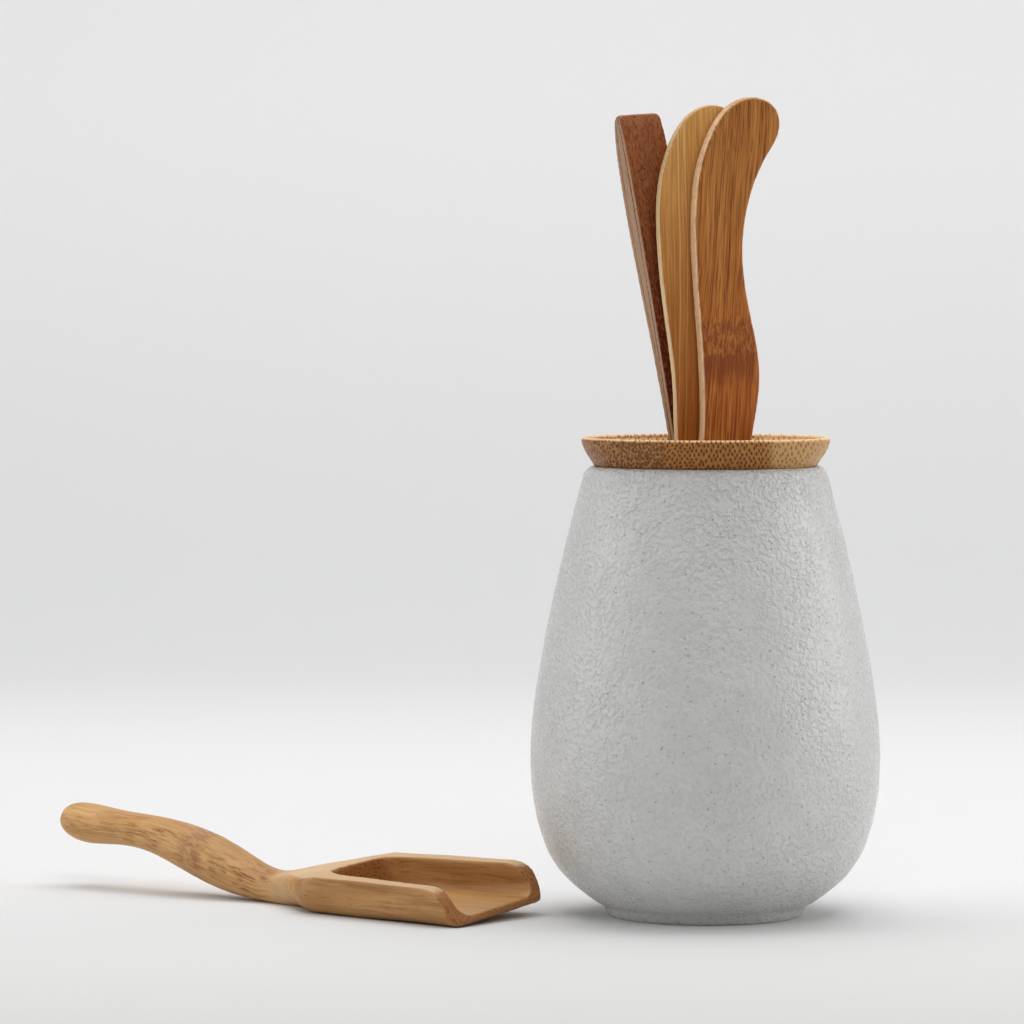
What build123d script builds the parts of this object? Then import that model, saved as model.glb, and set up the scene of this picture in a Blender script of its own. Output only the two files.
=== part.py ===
from build123d import *
import math
import os

# Tea utensil set: a ceramic jar with a bamboo funnel collar on its mouth, three bamboo tools standing in it
# (tongs, needle, spoon) and a carved bamboo scoop lying beside it.
# Millimetres, +Z up, +X to the right and -Y to the front. The origin is the jar's axis at the tabletop.

os.makedirs("parts", exist_ok=True)

# ---- cutting tools reach this far past what they cut ----
CUT_DEPTH = 20.0

# ---- jar ----
JAR_HEIGHT = 107.2
JAR_MAX_RADIUS = 41.7
FOOT_RADIUS = 23.0
FOOT_RECESS_RADIUS = 18.0
FOOT_RECESS_DEPTH = 1.4
FOOT_HEIGHT = 2.4
FOOT_TOP_RADIUS = 24.3
BODY_START = (24.7, 2.6)
SHOULDER_START = 104.4
SHOULDER_ROUNDING = 2.42
RIM_RADIUS = 29.3
MOUTH_RADIUS = 24.6
MOUTH_STRAIGHT = 8.5
INNER_FLOOR = 5.0
INNER_FLOOR_RADIUS = 21.0

# ---- funnel collar ----
COLLAR_TOP = 114.1
COLLAR_BASE_RADIUS = 26.5
COLLAR_RIM_RADIUS = 29.6
COLLAR_LIP = 1.3
HOLE_RADIUS = 22.7
SPIGOT_RADIUS = 24.45
SPIGOT_LENGTH = 7.6
SEAT_GAP = 0.05

# ---- flat tools ----
TOOL_YAW = 22.0
TOOL_FOOT_Z = INNER_FLOOR + 0.3
SPOON_LENGTH = 189.4
SPOON_THICKNESS = 3.8
SPOON_FRONT = 8.5
SPOON_FOOT_U = 2.0
SPOON_BOWL_LENGTH = 34.0
SPOON_BOWL_WIDTH = 9.4
SPOON_BOWL_DEPTH = 1.4
SPOON_BOWL_START = 3.5
NEEDLE_THICKNESS = 2.6
NEEDLE_FRONT = 4.2
NEEDLE_LEAN = 3.15
NEEDLE_PIVOT_V = 22.7
NEEDLE_SHORTER = 2.0
NEEDLE_TIP_WIDTH = 2.8
SPOON_EDGE = 0.7
NEEDLE_EDGE = 0.5

# ---- tongs ----
TONGS_LEAN = 11.0
TONGS_TILT = 2.5
TONGS_ROOT_U = -0.8
TONGS_ROOT_D = -6.3
TONGS_ROOT_Z = 108.0
TONGS_HEAD_LENGTH = 84.7
TONGS_HEAD_SLANT = 0.9
TONGS_ARM_LENGTH = 97.5
TONGS_HEAD_WIDTH = 10.4
TONGS_ROOT_WIDTH = 8.9
TONGS_TIP_WIDTH = 7.4
SLAT_THICKNESS = 1.75
GLUE_LINE = 0.03
FLEXURE_GAP = 0.3
ROOT_HALF_GAP = 0.15
ARM_BOW = 4.3
ARM_TIP_OPEN = 3.5
ARM_TIP_EASED = 0.4
ARM_TIP_CORNER = 2.4
PIN_RADIUS = 1.35
PIN_CLEARANCE = 0.03
PIN_BELOW_TOP = 14.5
PIN_ASIDE = -2.1
PIN_HALF_LENGTH = 3.45
HEAD_CORNER = 1.3

# ---- scoop ----
SCOOP_YAW = -36.5
SCOOP_ROLL = 5.6
SCOOP_MOUTH = (-49.5, -14.0)
SCOOP_WIDTH = 38.0
SCOOP_WALL_HEIGHT = 9.4
SCOOP_WALL = 4.3
SCOOP_FLOOR = 2.2
SCOOP_BLOCK_LENGTH = 50.5
SCOOP_FRONT = 1.5
SCOOP_NECK = 65.0
SCOOP_NECK_HEIGHT = 4.9
SCOOP_NECK_HALF_WIDTH = 5.6
SCOOP_SHOULDER = (-43.0, 16.5)
SCOOP_BACK_HALF_WIDTH = 13.0
SCOOP_DECK_START = -42.0
SCOOP_DECK_END = -8.3
SCOOP_LIP_HEIGHT = 1.2
SCOOP_FRONT_CORNER = 4.8
SCOOP_BOTTOM_ROUNDING = 4.2
SCOOP_HOLLOW_LENGTH = 46.0
SCOOP_HOLLOW_ROUND = 15.0
SCOOP_HOLLOW_CORNER = 4.5
SCOOP_HOLLOW_PAST_FRONT = 5.0
SCOOP_HOLLOW_FLARE = 0.3


def lathe(profile_edges):
    """A solid of revolution about Z from closed (radius, height) edges."""
    face = Plane.XZ * make_face(profile_edges)
    return revolve(face, Axis.Z)


def make_jar():
    """Egg-shaped ceramic jar: low foot ring, rounded shoulder, straight mouth."""
    outer = Spline(
        BODY_START,
        (29.9, 6.2),
        (34.9, 11.0),
        (39.4, 20.4),
        (JAR_MAX_RADIUS, 37.1),
        (39.2, 61.0),
        (34.3, 84.8),
        (RIM_RADIUS, SHOULDER_START),
        tangents=((1.0, 0.52), (-0.26, 1.0)),
    )
    shoulder_top = (RIM_RADIUS - SHOULDER_ROUNDING, JAR_HEIGHT)
    shoulder = Spline((RIM_RADIUS, SHOULDER_START), shoulder_top, tangents=((-0.26, 1.0), (-1.0, 0.0)))
    inner = Spline(
        (MOUTH_RADIUS, JAR_HEIGHT - MOUTH_STRAIGHT),
        (30.6, 83.0),
        (35.4, 61.0),
        (37.9, 38.0),
        (35.4, 19.5),
        (29.0, 8.8),
        (INNER_FLOOR_RADIUS, INNER_FLOOR),
        tangents=((0.25, -1.0), (-1.0, -0.15)),
    )
    edges = [
        Line((FOOT_RECESS_RADIUS, 0.0), (FOOT_RADIUS, 0.0)),
        Line((FOOT_RADIUS, 0.0), (FOOT_TOP_RADIUS, FOOT_HEIGHT)),
        Line((FOOT_TOP_RADIUS, FOOT_HEIGHT), BODY_START),
        outer,
        shoulder,
        Line(shoulder_top, (MOUTH_RADIUS, JAR_HEIGHT)),
        Line((MOUTH_RADIUS, JAR_HEIGHT), (MOUTH_RADIUS, JAR_HEIGHT - MOUTH_STRAIGHT)),
        inner,
        Line((INNER_FLOOR_RADIUS, INNER_FLOOR), (0.0, INNER_FLOOR)),
        Line((0.0, INNER_FLOOR), (0.0, FOOT_RECESS_DEPTH)),
        Line((0.0, FOOT_RECESS_DEPTH), (FOOT_RECESS_RADIUS - 1.0, FOOT_RECESS_DEPTH)),
        Line((FOOT_RECESS_RADIUS - 1.0, FOOT_RECESS_DEPTH), (FOOT_RECESS_RADIUS, 0.0)),
    ]
    return lathe(edges)


def make_collar():
    """Flared bamboo ring with a dished top, and a spigot that drops into the jar's mouth."""
    base = JAR_HEIGHT + SEAT_GAP
    foot = base - SPIGOT_LENGTH
    lip_out = (COLLAR_RIM_RADIUS, COLLAR_TOP - 0.9)
    lip_top = (COLLAR_RIM_RADIUS - 0.5 * COLLAR_LIP, COLLAR_TOP)
    lip_in = (COLLAR_RIM_RADIUS - COLLAR_LIP - 0.3, COLLAR_TOP - 0.8)
    dish_low = (HOLE_RADIUS + 0.7, base + 2.4)
    edges = [
        Line((SPIGOT_RADIUS, base), (COLLAR_BASE_RADIUS, base)),
        Spline((COLLAR_BASE_RADIUS, base), (28.45, base + 3.0), lip_out),
        Spline(lip_out, lip_top, lip_in, tangents=((0.15, 1.0), (-0.3, -1.0))),
        Spline(lip_in, dish_low, tangents=((-0.6, -1.0), (-1.0, -0.35))),
        Line(dish_low, (HOLE_RADIUS, base + 1.6)),
        Line((HOLE_RADIUS, base + 1.6), (HOLE_RADIUS, foot)),
        Line((HOLE_RADIUS, foot), (SPIGOT_RADIUS - 0.5, foot)),
        Line((SPIGOT_RADIUS - 0.5, foot), (SPIGOT_RADIUS, foot + 0.8)),
        Line((SPIGOT_RADIUS, foot + 0.8), (SPIGOT_RADIUS, base)),
    ]
    return lathe(edges)


def tool_plane(front, u=0.0, z=0.0):
    """Plane of a flat tool's front face: local x across, local y up, local z towards the front."""
    yaw = math.radians(TOOL_YAW)
    across = Vector(math.cos(yaw), math.sin(yaw), 0)
    normal = Vector(math.sin(yaw), -math.cos(yaw), 0)
    return Plane(origin=across * u + normal * front + Vector(0, 0, z), x_dir=across, z_dir=normal)


def handle_sides():
    """The S-curved handle shared by the spoon and the needle, from the waist up: left, crown, right."""
    left = [(-6.3, 108.0), (-6.2, 124.0), (-7.6, 142.0), (-8.4, 160.0)]
    left += [(-7.4, 171.5), (-4.5, 180.1), (0.2, 186.7)]
    right = [(12.6, 186.6), (13.4, 181.6), (10.4, 175.8), (5.9, 165.6)]
    right += [(4.0, 152.6), (5.9, 138.5), (8.5, 124.0), (6.5, 109.0)]
    crown = (6.6, SPOON_LENGTH)
    return left, crown, right


def flat_tool(outline, thickness, edge):
    """A closed outline extruded behind its front face, with eased edges."""
    body = extrude(make_face(outline), -thickness)
    faces = body.faces().sort_by(Axis.Z)
    return fillet(faces[0].edges() + faces[-1].edges(), edge)


def make_spoon():
    """Tea spoon: S handle above, narrow leaf-shaped spoon with a shallow hollow below."""
    left, crown, right = handle_sides()
    blade_right = [(3.6, 86.0), (3.1, 66.0), (5.6, 40.0), (6.2, 22.0), (4.3, 6.0)]
    blade_left = [(-4.3, 6.0), (-6.2, 22.0), (-5.6, 40.0), (-3.1, 66.0), (-3.8, 86.0)]
    outline = left + [crown] + right + blade_right + [(0.0, 0.0)] + blade_left
    body = flat_tool([Spline(*outline, periodic=True)], SPOON_THICKNESS, SPOON_EDGE)
    hollow = scale(Sphere(1.0), by=(SPOON_BOWL_WIDTH / 2, SPOON_BOWL_LENGTH / 2, SPOON_BOWL_DEPTH))
    body = body - Pos(0, SPOON_BOWL_LENGTH / 2 + SPOON_BOWL_START, 0) * hollow
    return tool_plane(SPOON_FRONT, SPOON_FOOT_U, TOOL_FOOT_Z) * body


def make_needle():
    """Tea needle: the same S handle, leaning to the left, running down to a slim point."""
    left, crown, right = handle_sides()
    tip = NEEDLE_TIP_WIDTH / 2
    stem_right = [(4.0, 88.0), (2.9, 60.0), (tip + 0.4, 20.0)]
    stem_left = [(-tip - 0.4, 20.0), (-2.9, 60.0), (-4.2, 88.0)]
    upper = left + [crown] + right
    upper = [(x, y - NEEDLE_SHORTER) for x, y in upper]
    sides = [(-tip, tip)] + stem_left + upper + stem_right + [(tip, tip)]
    point = ThreePointArc((tip, tip), (0.0, 0.0), (-tip, tip))
    outline = [Spline(*sides, tangents=((-0.02, 1.0), (-0.02, -1.0))), point]
    body = flat_tool(outline, NEEDLE_THICKNESS, NEEDLE_EDGE)
    body = Pos(0, NEEDLE_PIVOT_V, 0) * Rot(0, 0, NEEDLE_LEAN) * Pos(0, -NEEDLE_PIVOT_V, 0) * body
    return tool_plane(NEEDLE_FRONT, SPOON_FOOT_U, TOOL_FOOT_Z) * body


def tongs_plane():
    """Frame of the tongs at the root of their arms: local y up the tool, local z to the front."""
    root = tool_plane(TONGS_ROOT_D, TONGS_ROOT_U, TONGS_ROOT_Z)
    return root * Rot(TONGS_TILT, 0, 0) * Rot(0, 0, TONGS_LEAN)


def wedge_half_thickness():
    """Half thickness of the wedge at heights above the arm root: thickest below the head's top."""
    return [(0.12, 1.5), (0.85, 30.0), (1.85, 66.0), (1.6, 74.0), (1.2, 79.0), (0.4, TONGS_HEAD_LENGTH)]


def slab_profile(inner, outer):
    """A closed (depth, height) face between two splines, as a face in the local ZY plane."""
    edges = [
        Spline(*inner),
        Line(inner[-1], outer[-1]),
        Spline(*outer),
        Line(inner[0], outer[0]),
    ]
    return make_face(edges)


def extrude_across(face, width):
    """Turn a (depth, height) face so that depth is local z and height is local y, and give it a width."""
    solid = extrude(face, width / 2, both=True)
    return Rot(0, -90, 0) * solid


def head_outline():
    """Front outline of the tongs above the arm root, with a slanted top and eased corners."""
    half_top = TONGS_HEAD_WIDTH / 2
    half_root = TONGS_ROOT_WIDTH / 2
    edges = [Line((half_root, -1.0), (-half_root, -1.0))]
    flat_ends = []
    for side, drop in ((1, TONGS_HEAD_SLANT), (-1, 0.0)):
        top = TONGS_HEAD_LENGTH - drop
        corner = (side * half_top, top - HEAD_CORNER)
        flat_end = (side * (half_top - HEAD_CORNER), top)
        lower = [(side * half_root, -1.0), (side * (half_root + 0.1), 30.0), (side * (half_top + 0.1), 74.0)]
        edges.append(Spline(*lower, corner))
        edges.append(Spline(corner, flat_end, tangents=((-0.1 * side, 1.0), (-side, 0.05))))
        flat_ends.append(flat_end)
    edges.append(Line(*flat_ends))
    return make_face(edges)


def arm_outline():
    """Front outline of one arm, from the root down to its rounded tip."""
    half_root = TONGS_ROOT_WIDTH / 2
    half_tip = TONGS_TIP_WIDTH / 2
    end = -TONGS_ARM_LENGTH
    corner = ARM_TIP_CORNER
    corners = [(half_root, 0.0), (half_tip, end + corner), (half_tip - corner, end), (corner - half_tip, end)]
    corners += [(-half_tip, end + corner), (-half_root, 0.0)]
    return make_face(Polyline(*corners, close=True))


def pin_hole():
    """Cutting cylinder for the dowel through the head."""
    height = TONGS_HEAD_LENGTH - PIN_BELOW_TOP
    return Pos(PIN_ASIDE, height, 0) * Cylinder(PIN_RADIUS + PIN_CLEARANCE, CUT_DEPTH)


def make_wedge():
    """Lens-shaped wedge that fills the head between the two slats."""
    half = wedge_half_thickness()
    back = [(-x, y) for x, y in half]
    block = extrude_across(slab_profile(back, half), CUT_DEPTH)
    head = extrude(head_outline(), CUT_DEPTH / 2, both=True)
    return (block & head) - pin_hole()


def make_slat_root(side):
    """Upper part of a slat, glued to the wedge; side is +1 for the front slat and -1 for the back."""
    inner = [(x + GLUE_LINE, y) for x, y in wedge_half_thickness()]
    inner[0] = (ROOT_HALF_GAP, 0.0)
    planed_off = [0.0, 0.0, 0.0, 0.03, 0.15, 1.05]
    outer = [(x + SLAT_THICKNESS - less, y) for (x, y), less in zip(inner, planed_off)]
    block = extrude_across(slab_profile(inner, outer), CUT_DEPTH)
    block = block if side > 0 else mirror(block, Plane.XY)
    head = extrude(head_outline(), CUT_DEPTH / 2, both=True)
    return (block & head) - pin_hole()


def make_arm(side):
    """Free arm of a slat: bows outward and comes back in towards its tip."""
    end = -TONGS_ARM_LENGTH
    inner = [(ROOT_HALF_GAP, -FLEXURE_GAP), (2.2, -20.0), (ARM_BOW, -52.0), (ARM_BOW, -78.0)]
    inner.append((ARM_TIP_OPEN, end))
    outer = [(x + SLAT_THICKNESS, y) for x, y in inner]
    outer[-1] = (inner[-1][0] + SLAT_THICKNESS - ARM_TIP_EASED, end)
    block = extrude_across(slab_profile(inner, outer), CUT_DEPTH)
    block = block if side > 0 else mirror(block, Plane.XY)
    return block & extrude(arm_outline(), CUT_DEPTH / 2, both=True)


def make_pin():
    """Bamboo dowel through the tongs' head, flush with both slats."""
    height = TONGS_HEAD_LENGTH - PIN_BELOW_TOP
    return Pos(PIN_ASIDE, height, 0) * Cylinder(PIN_RADIUS, 2 * PIN_HALF_LENGTH)


def scoop_side_profile():
    """Side view of the block: flat bottom and deck, a front that slopes down to a thin lip."""
    top = SCOOP_WALL_HEIGHT
    lip = SCOOP_LIP_HEIGHT
    front = SCOOP_FRONT
    return make_face(
        [
            Line((front - lip, 0.0), (-SCOOP_NECK, 0.0)),
            Line((-SCOOP_NECK, 0.0), (-SCOOP_NECK, SCOOP_NECK_HEIGHT)),
            Line((-SCOOP_NECK, SCOOP_NECK_HEIGHT), (SCOOP_DECK_START, top)),
            Line((SCOOP_DECK_START, top), (SCOOP_DECK_END, top)),
            Spline((SCOOP_DECK_END, top), (front, lip), tangents=((1.0, 0.0), (0.8, -1.0))),
            Line((front, lip), (front - lip, 0.0)),
        ]
    )


def scoop_plan():
    """Plan view of the block: straight sides, and shoulders that run in to the neck."""
    half = 0.5 * SCOOP_WIDTH
    neck = (-SCOOP_NECK, SCOOP_NECK_HALF_WIDTH)
    right = [
        Line((SCOOP_FRONT, half), SCOOP_SHOULDER),
        Spline(
            SCOOP_SHOULDER,
            (-SCOOP_BLOCK_LENGTH, SCOOP_BACK_HALF_WIDTH),
            neck,
            tangents=((-1.0, -0.06), (-1.0, -0.1)),
        ),
    ]
    left = [mirror(edge, Plane.XZ) for edge in right]
    front = Line((SCOOP_FRONT, half), (SCOOP_FRONT, -half))
    end = Line(neck, (-SCOOP_NECK, -SCOOP_NECK_HALF_WIDTH))
    return make_face(right + left + [front, end])


def scoop_block():
    """Shallow block of the scoop, with its long bottom edges and its front corners rounded."""
    side = extrude(Plane.XZ * scoop_side_profile(), SCOOP_WIDTH, both=True)
    plan = scoop_plan()
    height = 2 * SCOOP_WALL_HEIGHT
    block = side & extrude(plan, height)
    bottom = block.faces().sort_by(Axis.Z)[0]
    edges = bottom.edges().filter_by(lambda e: e.length > 20.0 and abs(e.center().Y) > 10.0)
    block = fillet(edges, SCOOP_BOTTOM_ROUNDING)
    front_corners = plan.vertices().group_by(Axis.X)[-1]
    return block & extrude(fillet(front_corners, SCOOP_FRONT_CORNER), height)


def scoop_hollow():
    """Space carved out of the block: open at the front, rounded floor, pointed round back."""
    half_front = 0.5 * SCOOP_WIDTH - SCOOP_WALL + SCOOP_HOLLOW_FLARE
    half_back = SCOOP_SHOULDER[1] - SCOOP_WALL
    back = -SCOOP_HOLLOW_LENGTH
    mouth = (SCOOP_HOLLOW_PAST_FRONT, half_front)
    bend = (back + SCOOP_HOLLOW_ROUND, half_back)
    right = [
        Line(mouth, bend),
        Spline(bend, (back, 0.0), tangents=((-1.0, -0.09), (0.0, -1.0))),
    ]
    left = [mirror(edge, Plane.XZ) for edge in right]
    front = Line(mouth, (SCOOP_HOLLOW_PAST_FRONT, -half_front))
    plan = extrude(make_face(right + left + [front]), 4 * SCOOP_WALL_HEIGHT)
    section = RectangleRounded(2 * half_front, CUT_DEPTH, SCOOP_HOLLOW_CORNER)
    centre = Pos(0, SCOOP_FLOOR + CUT_DEPTH / 2)
    trough = extrude(Plane.YZ * centre * section, SCOOP_NECK, both=True)
    return plan & trough


def scoop_handle():
    """S-curved round handle, lofted through ellipses from the neck to its blunt end."""
    stations = [
        (50.0, 3.0, 8.5, 3.6),
        (56.0, 2.5, 7.0, 3.75),
        (62.0, 2.15, 5.9, 3.5),
        (69.0, 2.5, 5.8, 3.8),
        (77.0, 4.5, 6.3, 5.1),
        (86.0, 7.5, 6.8, 6.1),
        (95.5, 10.5, 6.4, 5.6),
        (105.0, 12.8, 5.9, 4.5),
        (114.0, 13.7, 6.0, 4.1),
        (123.0, 14.0, 6.4, 4.7),
        (129.5, 14.8, 5.9, 4.4),
        (133.0, 15.5, 3.2, 2.4),
    ]
    sections = []
    for distance, height, half_width, half_height in stations:
        plane = Plane(origin=(-distance, 0, height), x_dir=(0, 1, 0), z_dir=(-1, 0, 0))
        sections.append(plane * Ellipse(half_width, half_height))
    return loft(sections)


def make_scoop():
    """One-piece carved scoop lying on the tabletop, rolled a little onto its near edge."""
    body = scoop_block() + scoop_handle() - scoop_hollow()
    body = Rot(SCOOP_ROLL, 0, 0) * body
    body = Rot(0, 0, SCOOP_YAW) * body
    low = body.bounding_box().min.Z
    return Pos(SCOOP_MOUTH[0], SCOOP_MOUTH[1], -low) * body


tongs = tongs_plane()
nodes = {
    "jar": make_jar(),
    "funnel_collar": make_collar(),
    "tea_spoon": make_spoon(),
    "tea_needle": make_needle(),
    "tongs_wedge": tongs * make_wedge(),
    "tongs_front_root": tongs * make_slat_root(1),
    "tongs_back_root": tongs * make_slat_root(-1),
    "tongs_front_arm": tongs * make_arm(1),
    "tongs_back_arm": tongs * make_arm(-1),
    "tongs_pin": tongs * make_pin(),
    "tea_scoop": make_scoop(),
}
for name, solid in nodes.items():
    export_step(solid, f"parts/{name}.step")
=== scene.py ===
import math

import bmesh
import bpy
import numpy as np
from mathutils import Matrix, Vector, noise


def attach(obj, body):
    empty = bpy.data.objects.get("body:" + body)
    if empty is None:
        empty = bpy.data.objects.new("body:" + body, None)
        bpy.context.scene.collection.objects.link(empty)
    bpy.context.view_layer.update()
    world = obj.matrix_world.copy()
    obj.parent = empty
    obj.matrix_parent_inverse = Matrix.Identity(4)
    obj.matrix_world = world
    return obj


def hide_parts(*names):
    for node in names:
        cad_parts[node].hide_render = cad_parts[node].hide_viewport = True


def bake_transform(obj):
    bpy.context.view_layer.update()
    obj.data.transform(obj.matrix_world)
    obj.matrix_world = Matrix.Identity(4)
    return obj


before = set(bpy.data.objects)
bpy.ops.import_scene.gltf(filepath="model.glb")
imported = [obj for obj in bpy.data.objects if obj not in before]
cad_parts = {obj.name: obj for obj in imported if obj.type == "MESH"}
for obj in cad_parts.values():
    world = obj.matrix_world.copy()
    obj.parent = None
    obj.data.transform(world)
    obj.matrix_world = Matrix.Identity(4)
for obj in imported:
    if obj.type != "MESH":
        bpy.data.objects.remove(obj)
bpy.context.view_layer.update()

MM = 0.001

# ---- frames of the tools and the scoop, as in the CAD model (millimetres and degrees) ----
TOOL_YAW = 22.0
TOOL_FOOT = 5.3
SPOON_FOOT_U = 2.0
NEEDLE_LEAN = 3.15
NEEDLE_PIVOT = 22.7
TONGS_ROOT = (-0.8, -6.3, 108.0)
TONGS_LEAN = 11.0
TONGS_TILT = 2.5
SCOOP_MOUTH = (-49.5, -14.0, 1.46)
SCOOP_YAW = -36.5
SCOOP_ROLL = 5.6

# ---- grain: how far the fibres run off each tool's own length, in degrees ----
SPOON_GRAIN_TURN = -3.5
NEEDLE_GRAIN_TURN = -3.0

# ---- jar outline as (radius, height) in millimetres ----
JAR_HEIGHT = 107.2
RIM_RADIUS = 29.3
SHOULDER_START = 104.4
SHOULDER_ROUNDING = 2.42
MOUTH_RADIUS = 24.6
MOUTH_EDGE = (0.4, 0.5)
INNER_FLOOR = 5.0
JAR_INSIDE = [
    (MOUTH_RADIUS, 98.7), (30.6, 83.0), (35.4, 61.0), (37.9, 38.0), (35.4, 19.5), (29.0, 8.8),
    (21.0, INNER_FLOOR),
]
JAR_OUTSIDE = [
    (24.7, 2.6), (29.9, 6.2), (34.9, 11.0), (39.4, 20.4), (41.7, 37.1), (39.2, 61.0), (34.3, 84.8),
    (RIM_RADIUS, SHOULDER_START),
]
SHOULDER_SLOPE = (-0.26, 1.0)
# Each straight run of the foot ring and its recess: start, end, number of points.
JAR_FOOT = [
    ((24.3, 2.35), (23.15, 0.3), 5),
    ((22.8, 0.0), (18.2, 0.0), 5),
    ((17.6, 0.5), (17.0, 1.4), 3),
    ((15.0, 1.4), (0.0, 1.4), 5),
]
JAR_SEGMENTS = 400

# ---- funnel collar (millimetres) ----
COLLAR_BASE = JAR_HEIGHT + 0.05
COLLAR_BASE_RADIUS = 26.5
COLLAR_LIP = [(29.6, 113.2), (28.95, 114.1), (28.0, 113.3)]
DISH_LOW_RADIUS = 23.4
HOLE_RADIUS = 22.7
SPIGOT_RADIUS = 24.45
SPIGOT_LENGTH = 7.6
COLLAR_SEGMENTS = 360

# ---- tongs: how far each slat's arm reaches up into the head, to join it (millimetres) ----
SLAT_REACH = 0.45

# ---- scoop, in its own frame (millimetres); the middle of its S-curved handle is (along, height) ----
SCOOP_CENTRE_LINE = [
    (-134.0, 15.5), (-123.0, 14.0), (-105.0, 12.8), (-95.0, 10.5), (-86.0, 7.5), (-77.0, 4.5), (-69.0, 2.5),
    (-56.0, 2.4), (-46.0, 3.0), (2.0, 3.0),
]
SCOOP_NECK = -56.0
SCOOP_KNOT = -86.0
NECK_MIDDLE = -59.0
NECK_SPREAD = 8.5
NECK_SMOOTHING = 240
NECK_FILLING = 1.0

# ---- studio (metres, watts, degrees) ----
STAGE_HALF_WIDTH = 6.0
STAGE_FRONT = -6.0
STAGE_FLAT_END = 0.75
STAGE_BEND = 0.5
STAGE_BEND_STEPS = 12
STAGE_TOP = 3.0
LIGHT_TARGET = (-0.03, 0.0, 0.07)
# Name, place, target, size, watts.
LIGHTS = [
    ("overhead", (0.0, 0.30, 1.3), (0.0, 0.15, 0.0), (1.5, 1.1), 13.4),
    ("right_panel", (1.1, 0.1, 0.45), LIGHT_TARGET, (0.9, 0.9), 5.3),
    ("left_panel", (-1.2, 0.05, 0.5), LIGHT_TARGET, (0.9, 0.9), 4.3),
    ("front_panel", (0.1, -1.2, 1.2), LIGHT_TARGET, (0.8, 0.5), 5.0),
]
SURROUND_STRENGTH = 0.31
CAMERA_PLACE = (-0.0461, -1.25, 0.151)
CAMERA_DOWN = 2.51
CAMERA_LENS = 184.6
CAMERA_SENSOR = 36.0


def turn(degrees, axis):
    """A 4x4 rotation about one of the axes."""
    return Matrix.Rotation(math.radians(degrees), 4, axis)


def shift(x, y, z):
    """A 4x4 translation in millimetres."""
    return Matrix.Translation((x, y, z))


def tool_frame(u, depth, height):
    """Frame of a flat tool in millimetres: local x across, y up the tool, z towards the front."""
    yaw = math.radians(TOOL_YAW)
    across = Vector((math.cos(yaw), math.sin(yaw), 0.0))
    front = Vector((math.sin(yaw), -math.cos(yaw), 0.0))
    axes = Matrix((across, (0.0, 0.0, 1.0), front)).transposed().to_4x4()
    origin = across * u + front * depth + Vector((0.0, 0.0, height))
    return Matrix.Translation(origin) @ axes


SPOON_FRAME = tool_frame(SPOON_FOOT_U, 0.0, TOOL_FOOT)
NEEDLE_SWING = shift(0, NEEDLE_PIVOT, 0) @ turn(NEEDLE_LEAN, "Z") @ shift(0, -NEEDLE_PIVOT, 0)
NEEDLE_FRAME = SPOON_FRAME @ NEEDLE_SWING
TONGS_FRAME = tool_frame(*TONGS_ROOT) @ turn(TONGS_TILT, "X") @ turn(TONGS_LEAN, "Z")
SCOOP_FRAME = shift(*SCOOP_MOUTH) @ turn(SCOOP_YAW, "Z") @ turn(SCOOP_ROLL, "X") @ turn(-90.0, "Z")


# ---- mesh helpers ----
def mesh_arrays(mesh):
    """Vertex places and normals of a mesh as numpy arrays, in metres."""
    count = len(mesh.vertices)
    places = np.empty(count * 3)
    normals = np.empty(count * 3)
    mesh.vertices.foreach_get("co", places)
    mesh.vertices.foreach_get("normal", normals)
    return places.reshape(-1, 3), normals.reshape(-1, 3)


def set_places(mesh, places):
    """Move a mesh's vertices to new places, in metres."""
    mesh.vertices.foreach_set("co", places.ravel())
    mesh.update()


def in_frame(places, local_frame):
    """Places in metres, as millimetres in a piece's own frame."""
    inverse = np.array(local_frame.inverted())
    return (places / MM) @ inverse[:3, :3].T + inverse[:3, 3]


def new_object(name, mesh):
    """Put a mesh in the scene as a smooth-shaded object."""
    obj = bpy.data.objects.new(name, mesh)
    bpy.context.scene.collection.objects.link(obj)
    mesh.polygons.foreach_set("use_smooth", [True] * len(mesh.polygons))
    return obj


def applied(obj):
    """A new mesh of an object with its modifiers applied."""
    graph = bpy.context.evaluated_depsgraph_get()
    return bpy.data.meshes.new_from_object(obj.evaluated_get(graph))


def carved_copy(name, nodes, voxel, smoothing, reach=None):
    """One even, softly rounded mesh of one or more CAD nodes, in voxels of so many millimetres.

    A reach vector, in metres, lengthens the last node by moving the skin at its top end."""
    skin = 0.4 * MM
    parts = bmesh.new()
    for node in nodes:
        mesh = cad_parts[node].data.copy()
        if reach and node == nodes[-1]:
            places, _ = mesh_arrays(mesh)
            top = places @ np.array(reach.normalized())
            places[top > top.max() - skin] += np.array(reach)
            set_places(mesh, places)
        parts.from_mesh(mesh)
        bpy.data.meshes.remove(mesh)
    whole = bpy.data.meshes.new(name + "_rough")
    parts.to_mesh(whole)
    parts.free()
    rough = new_object(name + "_rough", whole)
    remesh = rough.modifiers.new("remesh", "REMESH")
    remesh.mode = "VOXEL"
    remesh.voxel_size = voxel * MM
    smooth = rough.modifiers.new("smooth", "SMOOTH")
    smooth.factor = 0.5
    smooth.iterations = smoothing
    final = applied(rough)
    final.name = name
    final.materials.clear()
    bpy.data.objects.remove(rough)
    return new_object(name, final)


def soften(obj, weights, iterations):
    """Relax the vertices where the weight is high, to blend one shape into the next."""
    group = obj.vertex_groups.new(name="soft")
    for index in np.nonzero(weights > 0.02)[0]:
        group.add([int(index)], float(weights[index]), "REPLACE")
    smooth = obj.modifiers.new("soften", "SMOOTH")
    smooth.factor = 0.5
    smooth.iterations = iterations
    smooth.vertex_group = "soft"
    relaxed = applied(obj)
    obj.modifiers.clear()
    obj.vertex_groups.clear()
    obj.data = relaxed


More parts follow.
